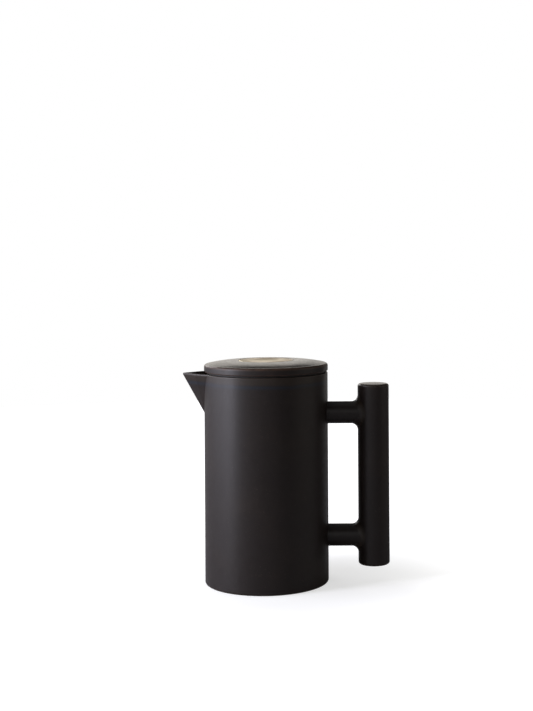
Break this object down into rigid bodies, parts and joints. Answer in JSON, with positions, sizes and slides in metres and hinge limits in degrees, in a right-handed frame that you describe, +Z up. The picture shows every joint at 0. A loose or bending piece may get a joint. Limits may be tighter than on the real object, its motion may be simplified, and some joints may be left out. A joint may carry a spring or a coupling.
{
  "type": "french press",
  "caption": "Cylindrical stoneware coffee press with a triangular spout, an upright bar handle on round arms, a flat lid and a dished brass plunger knob let into it.",
  "frame": {"origin": "centre of the pot's flat base, on the pot's axis", "axes": "+Z up along the pot's axis, +X towards the handle, -X towards the spout, +Y to the side"},
  "size_m": [0.1806, 0.1084, 0.1941],
  "materials": {
    "glaze": "satin dark brown-black stoneware glaze",
    "brass": "brushed, lightly aged",
    "steel": "turned or pressed stainless steel",
    "mesh": "fine woven stainless wire",
    "silicone": "matt black silicone"
  },
  "bodies": {
    "pot": {"pot_wall": "glaze", "pot_floor": "glaze", "spout": "glaze", "handle": "glaze"},
    "gasket": {"lid_gasket": "silicone"},
    "lid": {"lid": "glaze", "lid_liner": "steel", "guide_washer": "silicone", "plunger_guide": "steel", "guide_nut": "steel"},
    "seal": {"rod_seal": "silicone"},
    "plunger": {"knob": "brass", "knob_stem": "steel", "knob_cushion": "silicone", "knob_lock_nut": "steel", "plunger_rod": "steel", "disc_nut": "steel", "spring_disc": "steel", "edge_spring": "steel", "mesh_screen": "mesh", "cross_plate": "steel", "filter_hub": "steel"}
  },
  "joints": [
    {"name": "lid_lift", "type": "slide", "parent": "pot", "child": "gasket", "axis": [0, 0, 1], "range_m": [0, 0.2]},
    {"name": "lid_turn", "type": "hinge", "parent": "gasket", "child": "lid", "pos_m": [0, 0, 0.1843], "axis": [0, 0, 1], "continuous": true},
    {"name": "plunger_turn", "type": "hinge", "parent": "lid", "child": "seal", "pos_m": [0, 0, 0.1711], "axis": [0, 0, 1], "continuous": true},
    {"name": "plunger_press", "type": "slide", "parent": "seal", "child": "plunger", "axis": [0, 0, 1], "range_m": [0, 0.13]}
  ]
}
